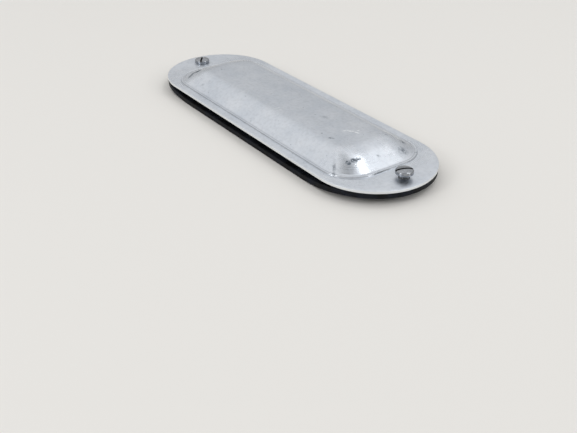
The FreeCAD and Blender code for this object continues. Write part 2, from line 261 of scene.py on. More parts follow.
# %% Cover sizes
# Half lengths, half widths and corner radii of the outlines, in millimetres. The crest and the fold
# line that run along the bead are placed by their inset from its outline.
BEAD = dict(length=98.2, width=33.2, corner=21.5, rise=0.8, run=0.45)
CREST = dict(height=0.06, inset=0.85, spread=0.30)
FOLD_LINE = dict(depth=0.10, inset=1.55, spread=0.22)
DOME_FOOT = dict(length=95.9, width=31.0, corner=19.5)
DOME_LEVEL = dict(length=79.0, width=17.5, corner=9.0)
BEAD_TOP = FLANGE_TOP + BEAD["rise"]
SLOPE_RUN = DOME_FOOT["width"] - DOME_LEVEL["width"]
# Share of the way from foot to ridge that the bend at the foot takes, each way.
FOLD = 0.025
# Rise of the level top in its middle, and the depths over which wall and top blend into a ridge along
# the sides and across the ends.
CROWN = 0.5
SIDE_BLEND = 1.3
END_BLEND = 3.6
# The level top's corners never get tighter than this share of its half width.
LEAST_CORNER = 0.35
print("dome rises", round(DOME_TOP - BEAD_TOP, 2), "mm over a slope of", SLOPE_RUN, "mm")


# %% The dome's section
def soft_min(first, second, blend):
    """The lower of two heights, rounded where they cross: the drop there is a quarter of the blend."""
    mix = np.clip(0.5 + 0.5 * (second - first) / blend, 0, 1)
    return second + (first - second) * mix - blend * mix * (1 - mix)


def dome_rows(travel, inset=0.0):
    """Sizes and height above the bead along the dome: travel is 0 at the foot and 1 at the ridge.

    Up to the ridge the outline slides from the foot's to the level top's. Past it, the outline closes
    in by the same step on every side until it is a line. The height is the lower of the sloping wall
    and the gently crowned top, with the foot faded in so that the sheet bends and does not fold. The
    last value is how much lower the sheet lies where its ridge is rounded as broadly as at the ends.
    """
    wall = np.minimum(travel, 1.0)
    inward = np.maximum(travel - 1.0, 0.0) * SLOPE_RUN
    keys = ("length", "width", "corner")
    size = {k: DOME_FOOT[k] + (DOME_LEVEL[k] - DOME_FOOT[k]) * wall - inset for k in keys}
    half_length = size["length"] - inward
    half_width = np.maximum(size["width"] - inward, 0.0)
    corner = np.maximum(size["corner"] - inward, LEAST_CORNER * half_width)
    rise = DOME_TOP - BEAD_TOP
    toward_middle = (travel - 1.0) * SLOPE_RUN / DOME_LEVEL["width"]
    crowned = rise - CROWN * (1 - np.minimum(toward_middle, 1.0)) ** 2
    lifted = np.where(travel < FOLD, np.maximum(travel + FOLD, 0) ** 2 / (4 * FOLD), travel)
    height = soft_min(rise * lifted, crowned, SIDE_BLEND)
    end_drop = height - soft_min(rise * lifted, crowned, END_BLEND)
    return half_length, half_width, np.minimum(corner, half_width), height, end_drop


# Where each run of rings starts on that travel, and how many rings it has: they lie close together
# over the ridge and at the foot, where the sheet bends.
DOME_RUNS = ((1.0 + DOME_LEVEL["width"] / SLOPE_RUN, 12), (1.45, 28), (0.60, 10), (0.09, 8))


def dome_travel():
    """Travel of every ring from the dome's middle down to its foot: even steps within each run."""
    starts = [start for start, _ in DOME_RUNS]
    ends = starts[1:] + [-FOLD]
    return np.concatenate([np.linspace(start, end, count, endpoint=end == -FOLD)
                           for (start, count), end in zip(DOME_RUNS, ends)])


# %% Flange and bead
def bead_rows(inset, height):
    """Rings that follow the bead's outline, each set in from it by its own distance."""
    return BEAD["length"] - inset, BEAD["width"] - inset, BEAD["corner"] - inset, height


def flange_rows(inset, height):
    """Rings that follow the cover's full-round edge, each set in from it by its own distance."""
    width = HALF_WIDTH - inset
    return HALF_LENGTH - inset, width, width, height


def ring(rows, index):
    """One ring of a run of rings, as a plain tuple."""
    return tuple(float(column[index]) for column in rows)


def rows_between(start, end, steps):
    """Sizes and heights on a straight run between two rings, the last ring left out."""
    mix = np.linspace(0, 1, steps, endpoint=False)[:, None]
    rows = np.array(start)[None, :] * (1 - mix) + np.array(end)[None, :] * mix
    return rows[:, 0], rows[:, 1], rows[:, 2], rows[:, 3]


def eased(share):
    """A smooth change from 0 to 1: three squares less two cubes."""
    return share * share * (3 - 2 * share)


def bump_at(inset, form):
    """A bell curve across the bead, 1 at the form's own inset."""
    return np.exp(-((inset - form["inset"]) / form["spread"]) ** 2)


def bead_profile(inset):
    """Height of the bead: a steep riser eased at both ends, a crest, and a shallow fold line inside."""
    riser = BEAD["rise"] * eased(np.clip(inset / BEAD["run"], 0, 1))
    crest = CREST["height"] * bump_at(inset, CREST)
    fold_line = FOLD_LINE["depth"] * bump_at(inset, FOLD_LINE)
    return FLANGE_TOP + riser + crest - fold_line


# %% The walk over the section
# Insets from the bead's outline, in millimetres: where its rings start inside, where they draw close
# for the riser, and the first ring on the flat outside it.
BEAD_INNER = 1.82
BEAD_RISER = 0.5
BEAD_OUTSIDE = -0.5
# Insets from the cut edge: the end of the upper flat, the roll at the edge's top, the bevel at its
# bottom, and the first two rings of the underside.
UPPER_RIM = 0.7
EDGE_ROLL = 0.28
EDGE_BEVEL = 0.1
LOWER_RIM = (0.8, 2.0)
# On the underside the riser lies almost one sheet's thickness further in, and is this wide. The
# hollow is smaller than the dome by the last value, all round.
UNDER_RISER = SHEET - 0.2
UNDER_RUN = 0.4
UNDER_INSET = 0.45


def upper_rows():
    """Rings of the upper skin: the dome, the bead, then the flat of the flange."""
    a, b, r, height, drop = dome_rows(dome_travel())
    inset = np.concatenate([np.linspace(BEAD_INNER, BEAD_RISER, 13, endpoint=False),
                            np.linspace(BEAD_RISER, 0.0, 7)])
    foot = ring(bead_rows(np.array([BEAD_OUTSIDE]), np.array([FLANGE_TOP])), 0)
    rim = ring(flange_rows(np.array([UPPER_RIM]), np.array([FLANGE_TOP])), 0)
    return [(a, b, r, height + BEAD_TOP, drop), bead_rows(inset, bead_profile(inset)),
            rows_between(foot, rim, 8)]


def edge_rows():
    """Rings of the cut edge: a quarter round at the top, and a small bevel at the bottom."""
    turn = np.linspace(0, np.pi / 2, 5)
    top = flange_rows(EDGE_ROLL - EDGE_ROLL * np.sin(turn),
                      FLANGE_TOP - EDGE_ROLL + EDGE_ROLL * np.cos(turn))
    bottom = flange_rows(np.array([0.0, EDGE_BEVEL, LOWER_RIM[0]]),
                         FLANGE_BOTTOM + np.array([EDGE_BEVEL, 0.0, 0.0]))
    return [top, bottom]


def lower_rows():
    """Rings of the underside: the flange, the riser behind the bead, and the hollow of the dome.

    The hollow leaves out the dome's first three rings, so that the sheet bends into it from the riser.
    """
    rim = ring(flange_rows(np.array([LOWER_RIM[1]]), np.array([FLANGE_BOTTOM])), 0)
    foot = ring(bead_rows(np.array([UNDER_RISER]), np.array([FLANGE_BOTTOM])), 0)
    step = np.linspace(0, 1, 6)
    a, b, r, height, drop = dome_rows(dome_travel()[::-1][3:], inset=UNDER_INSET)
    return [rows_between(rim, foot, 5),
            bead_rows(UNDER_RISER + UNDER_RUN * step, FLANGE_BOTTOM + BEAD["rise"] * eased(step)),
            (a, b, r, height + BEAD_TOP - SHEET, drop)]


def cover_rows():
    """Every ring of the cover, from the middle of the dome over the edge to the middle of the hollow.

    Only the dome has a drop at its ends, the fifth column: other rings get a drop of zero.
    """
    rows = upper_rows() + edge_rows() + lower_rows()
    rows = [row if len(row) == 5 else (*row, np.zeros(len(row[0]))) for row in rows]
    return [np.concatenate(column) for column in zip(*rows)]


# %% [markdown]
# Pressed sheet is never quite true. The level top drums in and out by a few hundredths of a
# millimetre, which is invisible as a shape and plain to see in the reflections, so the same small
# waves are added to the skin and to its hollow side.

# %% The cover's skin
# The waves fade in over the second value from the outline of the first. Each quarter of a ring has
# COVER_STEPS points. The clearance holes are given by radius, and a drill reaches a little past the
# sheet on both sides.
DRUM_AREA = dict(length=92.0, width=27.0, corner=16.0)
DRUM_FADE = 8.0
COVER_STEPS = 130
SHEET_HOLE = 3.3
DRILL_SPARE = 2


def drumming(x, y):
    """Small waves of the pressed sheet, in millimetres: three slow ripples that cross each other."""
    lengthwise = 0.035 * np.sin(x / 17.0 + 0.6 * np.sin(y / 13.0))
    slanted = 0.03 * np.sin((x + 1.7 * y) / 23.0 + 1.1)
    crossing = 0.02 * np.sin((x - 1.3 * y) / 9.0 + 2.0)
    return lengthwise + slanted + crossing


def toward_end(x, y):
    """0 on the dome's long sides, 1 on its end walls, and an even change over the corners between."""
    along = (np.abs(x) - DOME_LEVEL["length"]) / (DOME_FOOT["length"] - DOME_LEVEL["length"])
    across = (np.abs(y) - DOME_LEVEL["width"]) / SLOPE_RUN
    return eased(np.clip(0.5 + 0.9 * (along - across), 0, 1))


def keep_distance(piece):
    """Stores how far each point lies outside the bead's outline, in metres."""
    place = places_mm(piece.data.vertices, "co")
    away = outside_distance(place[:, 0], place[:, 1], BEAD)
    keep_value(piece, "from_bead", "POINT", away * MM)


def make_cover():
    """The whole sheet as one closed skin with its two clearance holes cut through."""
    a, b, r, z, drop = cover_rows()
    x, y = rounded_rings(a, b, r, COVER_STEPS)
    inside = np.clip(-outside_distance(x, y, DRUM_AREA) / DRUM_FADE, 0, 1)
    height = z[:, None] - drop[:, None] * toward_end(x, y) + drumming(x, y) * inside
    height = np.minimum(height, DOME_TOP)
    points = np.stack([x, y, height], -1)
    rows, cols = x.shape
    piece = finish_mesh("cover_sheet", points.reshape(-1, 3), grid_faces(rows, cols), "cover")
    cut(piece, [drill(side * SCREW_REACH, SHEET_HOLE, FLANGE_BOTTOM - DRILL_SPARE,
                      FLANGE_TOP + DRILL_SPARE) for side in (1, -1)])
    keep_distance(piece)
    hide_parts("cover")
    report(piece)
    return piece


cover_sheet = make_cover()


# %% [markdown]
# ## The gasket
# A gasket is die-cut from flat rubber sheet. This one hangs from the screws at its ends, and its long
# strips have dropped away from the flange until they lie on the table. A flat cut shape bent along
# its length is easy to state: the outline stays the same, and a height that depends only on the
# distance along the cover is added to every point.

# %% Gasket sizes
# The strips lie flat up to the first distance from the middle, and reach the flange at the second.
# The rubber is set back a little from the cover's edge, and its own edges are slightly rounded.
SAG_FLAT = 62.0
SAG_END = 108.0
GASKET_GAP = FLANGE_BOTTOM - GASKET_THICK
GASKET_OPENING = dict(length=92.0, width=28.5, corner=24.0)
GASKET_SETBACK = 0.15
GASKET_EDGE = 0.3
GASKET_STEPS = 150
RUBBER_HOLE = 2.8
print("the strips drop by", round(GASKET_GAP, 2), "mm over", SAG_END - SAG_FLAT, "mm")


# %% Gasket
def sag_height(x):
    """Height of the rubber's underside: level, then two equal arcs that meet halfway up, level again."""
    run = SAG_END - SAG_FLAT
    radius = (run ** 2 + GASKET_GAP ** 2) / (4 * GASKET_GAP)
    along = np.clip(np.abs(x) - SAG_FLAT, 0, run)
    lower = radius - np.sqrt(radius ** 2 - np.minimum(along, run / 2) ** 2)
    upper = radius - np.sqrt(radius ** 2 - np.minimum(run - along, run / 2) ** 2)
    return np.where(along < run / 2, lower, GASKET_GAP - upper)


def gasket_section():
    """Insets and heights up one side of the strip: two rings on its face, a quarter round at each end."""
    turn = np.linspace(0, np.pi / 2, 4)
    inset = GASKET_EDGE * (1 - np.cos(turn))
    lift = GASKET_EDGE * (1 - np.sin(turn))
    inset = np.concatenate([inset[::-1], [0.0, 0.0], inset])
    level = np.concatenate([lift[::-1], GASKET_THICK * np.array([0.35, 0.65]), GASKET_THICK - lift])
    return inset, level


def make_gasket():
    """The rubber ring: its section carried round the outline, then bent to its sag."""
    inset, level = gasket_section()
    outer = flange_rows(GASKET_SETBACK + inset, level)
    inner = (GASKET_OPENING["length"] + inset[::-1], GASKET_OPENING["width"] + inset[::-1],
             GASKET_OPENING["corner"] + inset[::-1], level[::-1])
    top = tuple(column[1:] for column in rows_between(ring(outer, -1), ring(inner, 0), 4))
    bottom = tuple(column[1:] for column in rows_between(ring(inner, -1), ring(outer, 0), 4))
    a, b, r, z = [np.concatenate(column) for column in zip(outer, top, inner, bottom)]
    x, y = rounded_rings(a, b, r, GASKET_STEPS)
    points = np.stack([x, y, z[:, None] + sag_height(x)], -1)
    rows, cols = x.shape
    piece = finish_mesh("gasket_rubber", points.reshape(-1, 3), grid_faces(rows, cols, True),
                        "cover")
    cut(piece, [drill(side * SCREW_REACH, RUBBER_HOLE, -DRILL_SPARE, FLANGE_TOP + DRILL_SPARE)
                for side in (1, -1)])
    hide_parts("gasket")
    report(piece)
    return piece


gasket_rubber = make_gasket()


# %% [markdown]
# ## The screws
# Each is a slotted machine screw with a low domed head. The head is turned, so it is one profile
# swept round, and the slot is milled across it with a straight cutter. The thread is a height map on
# a cylinder: the distance from the axis depends on how far a point lies from the nearest turn of the
# helix. That is lighter than sweeping a real groove, and it never tears.

# %% Screw sizes
# Millimetres. The head's side is upright up to HEAD_SIDE, its upper edge turns over a round of its
# own through EDGE_TURN, and a smaller round eases its foot.
HEAD_RADIUS = 5.25
HEAD_HEIGHT = 3.0
HEAD_SIDE = 1.5
SEAT_GAP = 0.04
FOOT_ROUND = 0.22
EDGE_ROUND = 0.9
EDGE_TURN = np.radians(74)
SLOT_WIDTH = 1.4
SLOT_DEPTH = 1.5
SLOT_TOOL_REACH = 8
HEAD_STEPS = 96
HEAD_CREASE_DEG = 40
print("slot", SLOT_WIDTH, "mm wide in a head", 2 * HEAD_RADIUS, "mm across")


# %% Head profile
def revolve(radius, height, steps):
    """A profile turned round the upright axis: the same radius and height at every angle."""
    turn = np.linspace(0, 2 * np.pi, steps, endpoint=False)
    x = radius[:, None] * np.cos(turn)
    y = radius[:, None] * np.sin(turn)
    return np.stack([x, y, np.broadcast_to(height[:, None], x.shape)], -1)


def head_profile():
    """Half the head's outline, from the middle of its underside round the side to the top's middle.

    The underside is level, so few rings are enough, and it keeps a hair of air over its seat. The side
    is upright, and most of a quarter round eases it into a low dome: an arc centred on the axis that
    passes through the end of the round and the crown.
    """
    underside = np.array([0, 1.5, HEAD_RADIUS - 1.0])
    foot = np.linspace(-np.pi / 2, 0, 5)
    foot_radius = HEAD_RADIUS - FOOT_ROUND + FOOT_ROUND * np.cos(foot)
    foot_height = SEAT_GAP + FOOT_ROUND + FOOT_ROUND * np.sin(foot)
    edge = np.linspace(0, EDGE_TURN, 7)
    edge_radius = HEAD_RADIUS - EDGE_ROUND + EDGE_ROUND * np.cos(edge)
    edge_height = HEAD_SIDE + EDGE_ROUND * np.sin(edge)
    rise = HEAD_HEIGHT - edge_height[-1]
    dome_radius = (edge_radius[-1] ** 2 + rise ** 2) / (2 * rise)
    turn = np.linspace(math.asin(edge_radius[-1] / dome_radius), 0, 14)[1:]
    radius = np.concatenate([underside, foot_radius, edge_radius, dome_radius * np.sin(turn)])
    height = np.concatenate([np.full(3, SEAT_GAP), foot_height, edge_height,
                             HEAD_HEIGHT - dome_radius + dome_radius * np.cos(turn)])
    return radius, height


# %% Slot
# How near a face has to lie to the slot's own walls to count as cut by its tool.
CUT_MARGIN = 0.01


def slot_tool(centre, turn_deg):
    """A long box, turned about the screw's axis, that takes the slot out of the head."""
    corners = np.array([(side_x * SLOT_TOOL_REACH, side_y * SLOT_WIDTH / 2, z)
                        for z in (HEAD_HEIGHT - SLOT_DEPTH, SLOT_TOOL_REACH)
                        for side_x, side_y in ((-1, -1), (1, -1), (1, 1), (-1, 1))], float)
    turn = math.radians(turn_deg)
    spin = np.array([[math.cos(turn), math.sin(turn), 0], [-math.sin(turn), math.cos(turn), 0], [0, 0, 1]])
    faces = [(3, 2, 1, 0), (4, 5, 6, 7), (0, 1, 5, 4), (1, 2, 6, 5), (2, 3, 7, 6), (3, 0, 4, 7)]
    mesh = bpy.data.meshes.new("slot_tool")
    mesh.from_pydata(((corners @ spin + centre) * MM).tolist(), [], faces)
    return put("slot_tool", mesh)


def slot_painted_shade(head, centre, turn_deg):
    """Painted shade for the finish: 1 on the faces that the slot's tool left, and 0 on all others."""
    local = places_mm(head.data.polygons, "center") - centre
    turn = math.radians(turn_deg)
    across = np.abs(-local[:, 0] * math.sin(turn) + local[:, 1] * math.cos(turn))
    above_floor = local[:, 2] > HEAD_HEIGHT - SLOT_DEPTH - CUT_MARGIN
    # Painted shade: the slot's faces are marked to be coloured near black.
    keep_value(head, "painted_shade", "FACE", (across < SLOT_WIDTH / 2 + CUT_MARGIN) & above_floor)


# %% Thread
# Millimetres. The shank runs on a little way into the head, and its tip is bevelled. The rings of its
# grid lie close together, because the thread shows only where they are finer than its flanks.
SHANK_RADIUS = 2.75
SHANK_LENGTH = 7.94
INTO_HEAD = 0.31
TIP_BEVEL = 0.6
THREAD_PITCH = 1.06
THREAD_DEPTH = 0.6
FLANK_START = 1.15
FLANK_FALL = 1.35
RING_GAP = 0.06
RING_STEPS = 72
THREAD_CREASE_DEG = 60


def thread_radius(z, turn):
    """Distance from the axis at each height and angle.

    The ridge is 1 on a turn of the helix and 0 midway between two turns. The depth falls in a line
    from one to the other, and the line is cut off at both ends, which flattens crest and root.
    """
    phase = np.mod(z[:, None] / THREAD_PITCH - turn[None, :] / (2 * np.pi), 1.0)
    ridge = 1 - np.abs(2 * phase - 1)
    depth = THREAD_DEPTH * np.clip(FLANK_START - FLANK_FALL * ridge, 0, 1)
    above_tip = np.clip((z + SHANK_LENGTH) / TIP_BEVEL, 0, 1)[:, None]
    return np.minimum(SHANK_RADIUS - depth, SHANK_RADIUS - TIP_BEVEL * (1 - above_tip))


def thread_painted_shade(shank, centre):
    """Painted shade for the finish: a trace on the crests, and more in proportion to how deep a point lies.
    """
    local = places_mm(shank.data.vertices, "co") - centre
    sunk = (SHANK_RADIUS - np.hypot(local[:, 0], local[:, 1])) / THREAD_DEPTH
    # Painted shade: the deeper a point of the thread lies, the darker it is coloured.
    keep_value(shank, "painted_shade", "POINT", np.clip(0.05 + 0.8 * sunk, 0, 1))


def make_thread(screw, centre):
    """The shank: a tube of rings from the tip into the head, closed by a point at each end."""
    z = np.arange(-SHANK_LENGTH, INTO_HEAD, RING_GAP)
    turn = np.linspace(0, 2 * np.pi, RING_STEPS, endpoint=False)
    wall = thread_radius(z, turn)
    tube = np.stack([wall * np.cos(turn), wall * np.sin(turn), np.broadcast_to(z[:, None], wall.shape)], -1)
    pole = np.zeros((1, RING_STEPS, 3))
    points = np.concatenate([pole + [0, 0, z[0]], tube, pole + [0, 0, z[-1]]])
    rows, cols = points.shape[:2]
    shank = finish_mesh(screw + "_thread", points.reshape(-1, 3) + centre, grid_faces(rows, cols), screw,
                        THREAD_CREASE_DEG)
    thread_painted_shade(shank, centre)
    return shank


# %% The whole screw
# The way each slot points, in degrees from the cover's long axis.
NEAR_SLOT_DEG = 66
FAR_SLOT_DEG = -41


def make_screw(name, x, tip_height, turn_deg):
    """Head with its slot, and threaded shank; the head's underside is one shank above the tip."""
    centre = np.array([x, 0.0, tip_height + SHANK_LENGTH])
    radius, height = head_profile()
    points = revolve(radius, height, HEAD_STEPS)
    rows, cols = points.shape[:2]
    head = finish_mesh(name + "_head", points.reshape(-1, 3) + centre, grid_faces(rows, cols), name,
                       HEAD_CREASE_DEG)
    cut(head, [slot_tool(centre, turn_deg)], HEAD_CREASE_DEG)
    slot_painted_shade(head, centre, turn_deg)
    thread = make_thread(name, centre)
    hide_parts(name)
    report(head)
    report(thread)
    return head, thread


screw_pieces = (*make_screw("near_screw", SCREW_REACH, near_low[2], NEAR_SLOT_DEG),
                *make_screw("far_screw", -SCREW_REACH, far_low[2], FAR_SLOT_DEG))


# %% [markdown]
# ## Materials
# Each material is a small node tree. One helper adds a node, sets its options and links its inputs,
# which keeps the trees short enough to read like a recipe. Colours are written as the hex values that
# a picture of the surface would show, and turned into linear light once.

# %% Material helpers
def hex_linear(code):
    """A hex colour as linear light, with full opacity."""
    value = np.array([int(code[k:k + 2], 16) for k in (1, 3, 5)]) / 255
    linear = np.where(value <= 0.04045, value / 12.92, ((value + 0.055) / 1.055) ** 2.4)
    return (*linear.tolist(), 1.0)


def add(tree, kind, settings=None, stops=(), **inputs):
    """Adds a node: its options, its colour stops if it has a ramp, and its inputs, set or linked.

    An input is named with underscores for spaces, or as i0, i1 and so on where names repeat. A stop
    is a position with a grey level or a hex colour.
    """
    node = tree.nodes.new(kind)
    for key, value in (settings or {}).items():
        setattr(node, key, value)
    for index, (place, colour) in enumerate(stops):
        elements = node.color_ramp.elements
        element = elements[index] if index < 2 else elements.new(place)
        element.position = place
        element.color = hex_linear(colour) if isinstance(colour, str) else (colour, colour, colour, 1)
    for key, value in inputs.items():
        numbered = key[0] == "i" and key[1:].isdigit()
        socket = node.inputs[int(key[1:])] if numbered else node.inputs[key.replace("_", " ")]
        if isinstance(value, bpy.types.NodeSocket):
            tree.links.new(value, socket)
        else:
            socket.default_value = value
    return node


def new_material(name, **shader):
    """An empty material with its shader's own sockets set, returned with its tree and shader."""
    material = bpy.data.materials.new(name)
    material.use_nodes = True
    tree = material.node_tree
    surface = tree.nodes["Principled BSDF"]
    for key, value in shader.items():
        surface.inputs[key.replace("_", " ")].default_value = value
    return material, tree, surface


def dress(piece, material):
    """Gives a piece its one material."""
    piece.data.materials.clear()
    piece.data.materials.append(material)


# %% [markdown]
# A noise pattern is sized by its cell, the width of one cloud or grain. Real mill grain, orange peel,
# cloth grain and plating marks are a few hundredths to a tenth of a millimetre, too fine to show at
# arm's length. So the fine ones below are drawn ten to twenty times as coarse, which is as coarse as
# it takes for the surface to look grained and not blank.

# %% Pattern sizes
# Millimetres. Drawn at their real size: the clouds of an uneven rolling, and the patches of talc and
# painted sheen on rubber.
CLOUD = 16.667
TALC_AND_SHEEN = 7.692
# Drawn coarser than they are, so that they show: pits, the rolled grain, the orange peel of pressing,
# specks of galling, marks of tumbling, the rubber's grain, and streaks along and across the rolling.
PIT = 3.030
GRAIN = 1.923
PEEL = 1.5385
SPECK = 1.3158
TUMBLING = 1.111
RUBBER_GRAIN = 0.7143
STREAK = (1.4286, 1.4286, 0.7143)


def cells(size):
    """A noise scale, the number of cells in a metre, from the size of one cell in millimetres."""
    return 1 / (size * MM)


print("clouds of", CLOUD, "mm are a scale of", round(cells(CLOUD), 1))


# %% [markdown]
# ## Marks on the sheet
# Soft aluminium shows where it has been handled and where the die gripped it: dark galled specks on
# the corners of the dome, a few pale scuffs, and small grey smudges. Each mark is an ellipsoid in
# space, full in its middle and gone at its edge, and fine noise breaks it into specks. Placing them in
# space, and not on a flat map, keeps them on the metal whatever its mesh is.

# %% Mark tables
# Each row: centre in mm, reach in mm along, across and up, turn about the upright axis in degrees,
# and strength.
DARK_MARKS = (
    ((84.7, -19.7, 13.3), (2.4, 1.9, 4.0), 20, 1.00),
    ((85.3, -16.2, 13.9), (3.0, 2.3, 4.0), 60, 0.78),
    ((85.7, -13.2, 14.3), (2.0, 1.5, 4.0), 60, 0.80),
    ((81.4, -27.2, 11.0), (7.5, 1.8, 4.0), -38, 0.32),
    ((85.0, -30.3, 9.7), (2.4, 1.6, 3.0), -38, 0.48),
    ((89.4, 17.0, 11.8), (5.5, 5.5, 4.0), 0, 0.42),
    ((82.0, 24.0, 12.4), (3.4, 3.0, 4.0), 30, 0.42),
    ((-82.6, -19.2, 14.1), (3.4, 2.6, 4.0), 41, 0.95),
    ((-84.2, -20.6, 12.8), (3.6, 1.7, 4.0), 41, 0.80),
    ((-83.7, -24.0, 11.9), (5.0, 1.7, 4.0), 114, 0.80),
    ((36.3, 1.3, 17.6), (5.0, 4.2, 4.0), 0, 0.20),
    ((60.9, -13.5, 17.0), (3.0, 1.1, 3.0), 35, 0.50),
    ((-63.4, -26.4, 12.1), (1.9, 1.6, 3.0), 0, 0.28),
    ((88.0, -0.4, 13.4), (2.2, 1.2, 3.0), 60, 0.34),
)
PALE_MARKS = (
    ((58.6, -0.6, 17.6), (2.8, 0.7, 3.0), 75, 0.60),
    ((61.0, 1.6, 17.6), (2.6, 0.7, 3.0), 50, 0.60),
    ((64.5, 3.0, 17.6), (3.0, 0.7, 3.0), 20, 0.55),
    ((62.6, 5.4, 17.6), (2.2, 0.6, 3.0), 85, 0.55),
    ((7.5, -14.3, 17.3), (3.4, 0.6, 3.0), 80, 0.40),
    ((10.5, -15.2, 17.0), (3.0, 0.5, 3.0), 65, 0.35),
)
# Places that rubbing has left smoother: round both screws, and on the dome's four corners, where the
# sheet is drawn hardest over the die.
SCREW_RUBBING = ((14.0, 14.0, 6.0), 0, 0.3)
CORNER_RUBBING = ((26.0, 26.0, 20.0), 0, 1.0)
WIPED_PLACES = (
    *(((end * SCREW_REACH, 0.0, FLANGE_TOP), *SCREW_RUBBING) for end in (1, -1)),
    *(((end * 87.0, side * 21.0, 12.0), *CORNER_RUBBING) for end in (1, -1) for side in (1, -1)),
)
print("marks:", len(DARK_MARKS), "dark,", len(PALE_MARKS), "pale,", len(WIPED_PLACES), "wiped")


# %% Masks
def marks_mask(tree, place, marks):
    """The strongest of several marks at each point: one less the distance in units of its reach."""
    strongest = None
    for centre, reach, turn, strength in marks:
        local = add(tree, "ShaderNodeMapping", {"vector_type": "TEXTURE"}, Vector=place,
                    Location=tuple(v * MM for v in centre), Scale=tuple(v * MM for v in reach),
                    Rotation=(0, 0, math.radians(turn)))
        ball = add(tree, "ShaderNodeTexGradient", {"gradient_type": "SPHERICAL"},
                   Vector=local.outputs["Vector"])
        mark = add(tree, "ShaderNodeMath", {"operation": "MULTIPLY"}, i0=ball.outputs["Fac"],
                   i1=strength).outputs[0]
        if strongest is not None:
            mark = add(tree, "ShaderNodeMath", {"operation": "MAXIMUM"}, i0=strongest, i1=mark).outputs[0]
        strongest = mark
    return strongest


def scratches(tree, place, turn_deg, spacing, length, rarity):
    """Fine straight scratches: noise drawn out along one direction, of which only the peaks are kept."""
    turned = add(tree, "ShaderNodeMapping", None, Vector=place,
                 Rotation=(0, 0, math.radians(turn_deg)),
                 Scale=(cells(length), cells(spacing), cells(length)))
    noise = add(tree, "ShaderNodeTexNoise", None, Vector=turned.outputs["Vector"], Scale=1.0, Detail=1.0)
    kept = add(tree, "ShaderNodeValToRGB", None, ((rarity, 0.0), (rarity + 0.05, 1.0)),
               Fac=noise.outputs["Fac"])
    return kept.outputs["Color"]


# %% [markdown]
# ## Mill-finish aluminium
# Sheet straight from the mill is pale and satin rather than bright: rolling leaves fine lines that
# spread the reflection. Pressing stretches the grain of the dome into a faint orange peel, and the die
# rubs the dome's corners smoother. Two thin dark lines beside the bead, in its fold line and on its
# riser, are partly dirt and partly painted shade, and the dome's level top is painted a little darker
# as painted shade. Blanking shears the outer edge bright. Colour, gloss and bump all read the same few
# patterns, so a mark that is darker is also duller. The finish is built in the order in which the
# real one came about.

# %% The sheet's own colour
def sheet_colour(tree, place, away):
    """Pale metal, multiplied by a fine mottle, painted shade on the dome's level top, and the lines beside
    the bead.

    All distances are from the bead's outline, in metres. The dome's level top is painted a little
    darker than its walls, which is painted shade. The line colours run from 4 mm inside the outline to
    6 mm outside it: the whole dome a little darker than the flange, and two thin dark lines, in the
    bead's fold line and on its riser, that are partly dirt and partly painted shade.
    """
    cloud = add(tree, "ShaderNodeTexNoise", None, Vector=place, Scale=cells(CLOUD), Detail=6.0,
                Roughness=0.65)
    tint = add(tree, "ShaderNodeValToRGB", None, ((0.34, "#ced4dc"), (0.66, "#dce0e6")),
               Fac=cloud.outputs["Fac"]).outputs["Color"]
    grain = add(tree, "ShaderNodeTexNoise", None, Vector=place, Scale=cells(GRAIN), Detail=2.0)
    mottle = add(tree, "ShaderNodeValToRGB", None, ((0.32, 0.92), (0.56, 1.0)), Fac=grain.outputs["Fac"])
    # Painted shade: the dome's level top is coloured a little darker than its walls.
    painted_top_shade = add(tree, "ShaderNodeMapRange", {"interpolation_type": "SMOOTHSTEP"}, Value=away,
               From_Min=-0.0175, From_Max=-0.0125, To_Min=0.967, To_Max=1.01)
    # Two thin dark lines, in the bead's fold line and on its riser: partly dirt, partly painted shade.
    across = add(tree, "ShaderNodeMapRange", None, Value=away, From_Min=-0.004, From_Max=0.006)
    lines = add(tree, "ShaderNodeValToRGB", None,
                ((0.0, 0.93), (0.2, 0.93), (0.235, 0.74), (0.27, 0.97), (0.34, 1.0), (0.37, 0.74),
                 (0.40, 0.90), (0.43, 1.0)), Fac=across.outputs["Result"])
    for pattern in (mottle.outputs["Color"], painted_top_shade.outputs["Result"], lines.outputs["Color"]):
        tint = add(tree, "ShaderNodeMix", {"data_type": "RGBA", "blend_type": "MULTIPLY"},
                   i0=1.0, i6=tint, i7=pattern).outputs[2]
    return tint


def with_sheared_edge(tree, normal, away, colour):
    """The colour, made brighter on the cut edge: faces that stand upright, outside the bead."""
    facing = add(tree, "ShaderNodeSeparateXYZ", None, Vector=normal).outputs["Z"]
    tilt = add(tree, "ShaderNodeMath", {"operation": "ABSOLUTE"}, i0=facing).outputs[0]
    upright = add(tree, "ShaderNodeMapRange", None, Value=tilt, From_Min=0.75, From_Max=0.35)
    outside = add(tree, "ShaderNodeMapRange", None, Value=away, From_Min=0.003, From_Max=0.004)
    edge = add(tree, "ShaderNodeMath", {"operation": "MULTIPLY"}, i0=upright.outputs["Result"],
               i1=outside.outputs["Result"]).outputs[0]
    return add(tree, "ShaderNodeMix", {"data_type": "RGBA"}, i0=edge, i6=colour,
               i7=hex_linear("#eceff2")).outputs[2]


